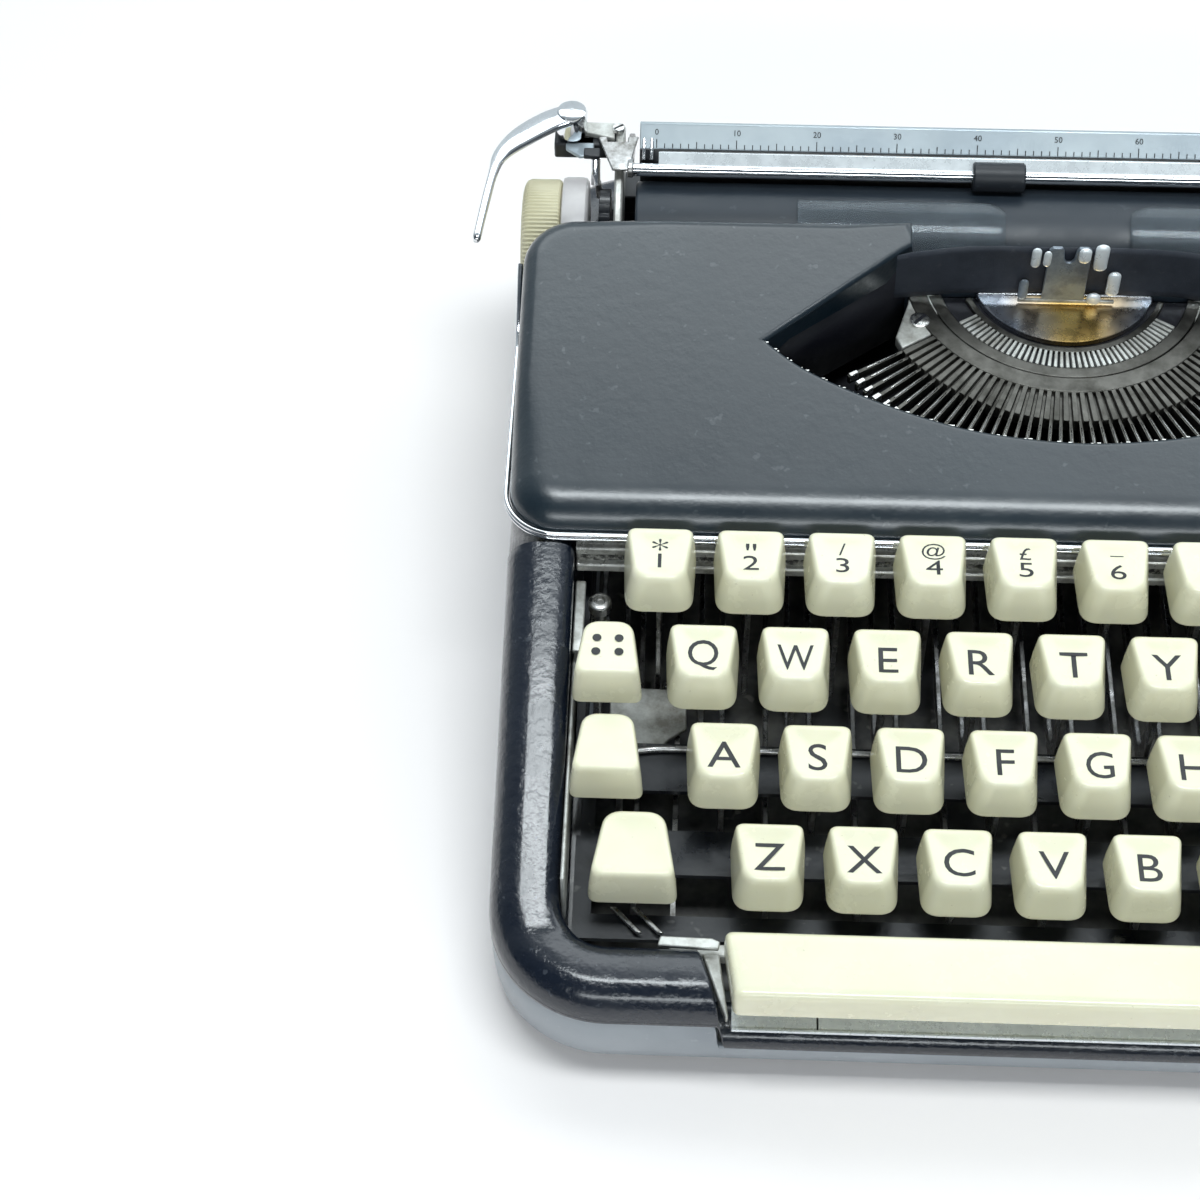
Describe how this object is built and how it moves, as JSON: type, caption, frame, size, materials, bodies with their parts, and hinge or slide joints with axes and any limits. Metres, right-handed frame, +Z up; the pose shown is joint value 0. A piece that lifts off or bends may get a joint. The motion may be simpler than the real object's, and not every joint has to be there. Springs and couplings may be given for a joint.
{
  "type": "portable typewriter",
  "caption": "Flat portable typewriter with lever keys, ribbon cover, open type basket and a sliding carriage with platen, paper bail and return lever.",
  "frame": {"origin": "on the table under the middle of the machine's bounding box", "axes": "+X to the typist's right along the carriage, +Y from the typist to the back, +Z up"},
  "size_m": [0.297, 0.2364, 0.0736],
  "materials": {
    "navyPaint": "gloss crinkle enamel",
    "coverPaint": "satin crinkle enamel",
    "panPaint": "satin",
    "rubber": "matt",
    "chrome": "polished",
    "steel": "worn, slightly stained",
    "blackSteel": "black japan, worn",
    "ivory": "polished, slightly aged",
    "platenRubber": "satin",
    "spoolMetal": "satin",
    "ribbonCloth": "inked, matt",
    "clear": "clear"
  },
  "bodies": {
    "machine_frame": {"base_pan": "panPaint", "foot_front_left": "rubber", "foot_front_right": "rubber", "foot_back_left": "rubber", "foot_back_right": "rubber", "upper_case": "navyPaint", "ribbon_cover": "coverPaint", "cover_trim": "chrome", "channel_bar": "steel", "chassis": "blackSteel", "type_segment": "steel", "type_bars": "steel", "type_guide": "steel", "card_holder_left": "clear", "card_holder_right": "clear", "ribbon": "ribbonCloth"},
    "carriage": {"carriage_frame": "steel"},
    "platen_roll": {"platen": "platenRubber", "knob_left": "ivory", "knob_right": "ivory", "line_ratchet": "blackSteel"},
    "return_lever": {"return_lever": "chrome"},
    "paper_bail": {"paper_bail": "chrome"},
    "bail_roller_left": {"bail_roller_left": "rubber"},
    "bail_roller_right": {"bail_roller_right": "rubber"},
    "spool_left": {"spool_left": "spoolMetal"},
    "spool_right": {"spool_right": "spoolMetal"},
    "key_1": {"key_1": "ivory"},
    "key_2": {"key_2": "ivory"},
    "key_3": {"key_3": "ivory"},
    "key_4": {"key_4": "ivory"},
    "key_5": {"key_5": "ivory"},
    "key_6": {"key_6": "ivory"},
    "key_7": {"key_7": "ivory"},
    "key_q": {"key_q": "ivory"},
    "key_w": {"key_w": "ivory"},
    "key_e": {"key_e": "ivory"},
    "key_r": {"key_r": "ivory"},
    "key_t": {"key_t": "ivory"},
    "key_y": {"key_y": "ivory"},
    "key_a": {"key_a": "ivory"},
    "key_s": {"key_s": "ivory"},
    "key_d": {"key_d": "ivory"},
    "key_f": {"key_f": "ivory"},
    "key_g": {"key_g": "ivory"},
    "key_h": {"key_h": "ivory"},
    "key_z": {"key_z": "ivory"},
    "key_x": {"key_x": "ivory"},
    "key_c": {"key_c": "ivory"},
    "key_v": {"key_v": "ivory"},
    "key_b": {"key_b": "ivory"},
    "keys_right_row_1": {"keys_right_row_1": "ivory"},
    "keys_right_row_2": {"keys_right_row_2": "ivory"},
    "keys_right_row_3": {"keys_right_row_3": "ivory"},
    "keys_right_row_4": {"keys_right_row_4": "ivory"},
    "key_margin_release": {"key_margin_release": "ivory"},
    "key_backspace": {"key_backspace": "ivory"},
    "key_shift_lock": {"key_shift_lock": "ivory"},
    "key_shift_pair": {"key_shift_pair": "ivory"},
    "space_bar": {"space_bar": "ivory"}
  },
  "joints": [
    {"name": "carriage_slide", "type": "slide", "parent": "machine_frame", "child": "carriage", "axis": [1, 0, 0], "range_m": [-0.13, 0.09]},
    {"name": "platen_turn", "type": "hinge", "parent": "carriage", "child": "platen_roll", "pos_m": [0.00475, 0.07185, 0.048], "axis": [1, 0, 0], "continuous": true},
    {"name": "return_lever_swing", "type": "hinge", "parent": "carriage", "child": "return_lever", "pos_m": [-0.12815, 0.09045, 0.068], "axis": [0, 0, 1], "range_deg": [0, 14], "stiffness_Nm_per_rad": 0.05, "springref_deg": -11.46},
    {"name": "paper_bail_swing", "type": "hinge", "parent": "carriage", "child": "paper_bail", "pos_m": [0.00475, 0.09425, 0.06], "axis": [-1, 0, 0], "range_deg": [0, 30]},
    {"name": "bail_roller_left_spin", "type": "hinge", "parent": "paper_bail", "child": "bail_roller_left", "pos_m": [-0.02925, 0.07877, 0.06602], "axis": [1, 0, 0], "continuous": true},
    {"name": "bail_roller_right_spin", "type": "hinge", "parent": "paper_bail", "child": "bail_roller_right", "pos_m": [0.05075, 0.07877, 0.06602], "axis": [1, 0, 0], "continuous": true},
    {"name": "spool_left_turn", "type": "hinge", "parent": "machine_frame", "child": "spool_left", "pos_m": [-0.10125, 0.01825, 0.037], "axis": [0, 0, 1], "continuous": true},
    {"name": "spool_right_turn", "type": "hinge", "parent": "machine_frame", "child": "spool_right", "pos_m": [0.09675, 0.01825, 0.037], "axis": [0, 0, 1], "continuous": true},
    {"name": "key_1_press", "type": "hinge", "parent": "machine_frame", "child": "key_1", "pos_m": [0.00475, 0.07625, 0.014], "axis": [1, 0, 0], "range_deg": [0, 3.3], "stiffness_Nm_per_rad": 0.3, "springref_deg": -5.73},
    {"name": "key_2_press", "type": "hinge", "parent": "machine_frame", "child": "key_2", "pos_m": [0.00475, 0.07625, 0.014], "axis": [1, 0, 0], "range_deg": [0, 3.3], "stiffness_Nm_per_rad": 0.3, "springref_deg": -5.73},
    {"name": "key_3_press", "type": "hinge", "parent": "machine_frame", "child": "key_3", "pos_m": [0.00475, 0.07625, 0.014], "axis": [1, 0, 0], "range_deg": [0, 3.3], "stiffness_Nm_per_rad": 0.3, "springref_deg": -5.73},
    {"name": "key_4_press", "type": "hinge", "parent": "machine_frame", "child": "key_4", "pos_m": [0.00475, 0.07625, 0.014], "axis": [1, 0, 0], "range_deg": [0, 3.3], "stiffness_Nm_per_rad": 0.3, "springref_deg": -5.73},
    {"name": "key_5_press", "type": "hinge", "parent": "machine_frame", "child": "key_5", "pos_m": [0.00475, 0.07625, 0.014], "axis": [1, 0, 0], "range_deg": [0, 3.3], "stiffness_Nm_per_rad": 0.3, "springref_deg": -5.73},
    {"name": "key_6_press", "type": "hinge", "parent": "machine_frame", "child": "key_6", "pos_m": [0.00475, 0.07625, 0.014], "axis": [1, 0, 0], "range_deg": [0, 3.3], "stiffness_Nm_per_rad": 0.3, "springref_deg": -5.73},
    {"name": "key_7_press", "type": "hinge", "parent": "machine_frame", "child": "key_7", "pos_m": [0.00475, 0.07625, 0.014], "axis": [1, 0, 0], "range_deg": [0, 3.3], "stiffness_Nm_per_rad": 0.3, "springref_deg": -5.73},
    {"name": "key_q_press", "type": "hinge", "parent": "machine_frame", "child": "key_q", "pos_m": [0.00475, 0.07625, 0.014], "axis": [1, 0, 0], "range_deg": [0, 2.78], "stiffness_Nm_per_rad": 0.3, "springref_deg": -5.73},
    {"name": "key_w_press", "type": "hinge", "parent": "machine_frame", "child": "key_w", "pos_m": [0.00475, 0.07625, 0.014], "axis": [1, 0, 0], "range_deg": [0, 2.78], "stiffness_Nm_per_rad": 0.3, "springref_deg": -5.73},
    {"name": "key_e_press", "type": "hinge", "parent": "machine_frame", "child": "key_e", "pos_m": [0.00475, 0.07625, 0.014], "axis": [1, 0, 0], "range_deg": [0, 2.78], "stiffness_Nm_per_rad": 0.3, "springref_deg": -5.73},
    {"name": "key_r_press", "type": "hinge", "parent": "machine_frame", "child": "key_r", "pos_m": [0.00475, 0.07625, 0.014], "axis": [1, 0, 0], "range_deg": [0, 2.78], "stiffness_Nm_per_rad": 0.3, "springref_deg": -5.73},
    {"name": "key_t_press", "type": "hinge", "parent": "machine_frame", "child": "key_t", "pos_m": [0.00475, 0.07625, 0.014], "axis": [1, 0, 0], "range_deg": [0, 2.78], "stiffness_Nm_per_rad": 0.3, "springref_deg": -5.73},
    {"name": "key_y_press", "type": "hinge", "parent": "machine_frame", "child": "key_y", "pos_m": [0.00475, 0.07625, 0.014], "axis": [1, 0, 0], "range_deg": [0, 2.78], "stiffness_Nm_per_rad": 0.3, "springref_deg": -5.73},
    {"name": "key_a_press", "type": "hinge", "parent": "machine_frame", "child": "key_a", "pos_m": [0.00475, 0.07625, 0.014], "axis": [1, 0, 0], "range_deg": [0, 2.4], "stiffness_Nm_per_rad": 0.3, "springref_deg": -5.73},
    {"name": "key_s_press", "type": "hinge", "parent": "machine_frame", "child": "key_s", "pos_m": [0.00475, 0.07625, 0.014], "axis": [1, 0, 0], "range_deg": [0, 2.4], "stiffness_Nm_per_rad": 0.3, "springref_deg": -5.73},
    {"name": "key_d_press", "type": "hinge", "parent": "machine_frame", "child": "key_d", "pos_m": [0.00475, 0.07625, 0.014], "axis": [1, 0, 0], "range_deg": [0, 2.4], "stiffness_Nm_per_rad": 0.3, "springref_deg": -5.73},
    {"name": "key_f_press", "type": "hinge", "parent": "machine_frame", "child": "key_f", "pos_m": [0.00475, 0.07625, 0.014], "axis": [1, 0, 0], "range_deg": [0, 2.4], "stiffness_Nm_per_rad": 0.3, "springref_deg": -5.73},
    {"name": "key_g_press", "type": "hinge", "parent": "machine_frame", "child": "key_g", "pos_m": [0.00475, 0.07625, 0.014], "axis": [1, 0, 0], "range_deg": [0, 2.4], "stiffness_Nm_per_rad": 0.3, "springref_deg": -5.73},
    {"name": "key_h_press", "type": "hinge", "parent": "machine_frame", "child": "key_h", "pos_m": [0.00475, 0.07625, 0.014], "axis": [1, 0, 0], "range_deg": [0, 2.4], "stiffness_Nm_per_rad": 0.3, "springref_deg": -5.73},
    {"name": "key_z_press", "type": "hinge", "parent": "machine_frame", "child": "key_z", "pos_m": [0.00475, 0.07625, 0.014], "axis": [1, 0, 0], "range_deg": [0, 2.1], "stiffness_Nm_per_rad": 0.3, "springref_deg": -5.73},
    {"name": "key_x_press", "type": "hinge", "parent": "machine_frame", "child": "key_x", "pos_m": [0.00475, 0.07625, 0.014], "axis": [1, 0, 0], "range_deg": [0, 2.1], "stiffness_Nm_per_rad": 0.3, "springref_deg": -5.73},
    {"name": "key_c_press", "type": "hinge", "parent": "machine_frame", "child": "key_c", "pos_m": [0.00475, 0.07625, 0.014], "axis": [1, 0, 0], "range_deg": [0, 2.1], "stiffness_Nm_per_rad": 0.3, "springref_deg": -5.73},
    {"name": "key_v_press", "type": "hinge", "parent": "machine_frame", "child": "key_v", "pos_m": [0.00475, 0.07625, 0.014], "axis": [1, 0, 0], "range_deg": [0, 2.1], "stiffness_Nm_per_rad": 0.3, "springref_deg": -5.73},
    {"name": "key_b_press", "type": "hinge", "parent": "machine_frame", "child": "key_b", "pos_m": [0.00475, 0.07625, 0.014], "axis": [1, 0, 0], "range_deg": [0, 2.1], "stiffness_Nm_per_rad": 0.3, "springref_deg": -5.73},
    {"name": "keys_right_row_1_press", "type": "hinge", "parent": "machine_frame", "child": "keys_right_row_1", "pos_m": [0.00475, 0.07625, 0.014], "axis": [1, 0, 0], "range_deg": [0, 3.3], "stiffness_Nm_per_rad": 1.2, "springref_deg": -5.73},
    {"name": "keys_right_row_2_press", "type": "hinge", "parent": "machine_frame", "child": "keys_right_row_2", "pos_m": [0.00475, 0.07625, 0.014], "axis": [1, 0, 0], "range_deg": [0, 2.78], "stiffness_Nm_per_rad": 1.2, "springref_deg": -5.73},
    {"name": "keys_right_row_3_press", "type": "hinge", "parent": "machine_frame", "child": "keys_right_row_3", "pos_m": [0.00475, 0.07625, 0.014], "axis": [1, 0, 0], "range_deg": [0, 2.4], "stiffness_Nm_per_rad": 1.2, "springref_deg": -5.73},
    {"name": "keys_right_row_4_press", "type": "hinge", "parent": "machine_frame", "child": "keys_right_row_4", "pos_m": [0.00475, 0.07625, 0.014], "axis": [1, 0, 0], "range_deg": [0, 2.1], "stiffness_Nm_per_rad": 1.2, "springref_deg": -5.73},
    {"name": "key_margin_release_press", "type": "hinge", "parent": "machine_frame", "child": "key_margin_release", "pos_m": [0.00475, 0.07625, 0.014], "axis": [1, 0, 0], "range_deg": [0, 2.78], "stiffness_Nm_per_rad": 0.3, "springref_deg": -5.73},
    {"name": "key_backspace_press", "type": "hinge", "parent": "machine_frame", "child": "key_backspace", "pos_m": [0.00475, 0.07625, 0.014], "axis": [1, 0, 0], "range_deg": [0, 2.78], "stiffness_Nm_per_rad": 0.3, "springref_deg": -5.73},
    {"name": "key_shift_lock_press", "type": "hinge", "parent": "machine_frame", "child": "key_shift_lock", "pos_m": [0.00475, 0.07625, 0.014], "axis": [1, 0, 0], "range_deg": [0, 2.1], "stiffness_Nm_per_rad": 0.4, "springref_deg": -5.73},
    {"name": "key_shift_pair_press", "type": "hinge", "parent": "machine_frame", "child": "key_shift_pair", "pos_m": [0.00475, 0.07625, 0.014], "axis": [1, 0, 0], "range_deg": [0, 2.1], "stiffness_Nm_per_rad": 1, "springref_deg": -5.73},
    {"name": "space_bar_press", "type": "hinge", "parent": "machine_frame", "child": "space_bar", "pos_m": [0.00475, 0.07625, 0.014], "axis": [1, 0, 0], "range_deg": [0, 1.83], "stiffness_Nm_per_rad": 2, "springref_deg": -5.73}
  ],
  "couplings": [
    {"joint": "spool_right_turn", "follows": "spool_left_turn", "ratio": 1},
    {"joint": "key_shift_lock_press", "follows": "key_shift_pair_press", "ratio": 1}
  ]
}
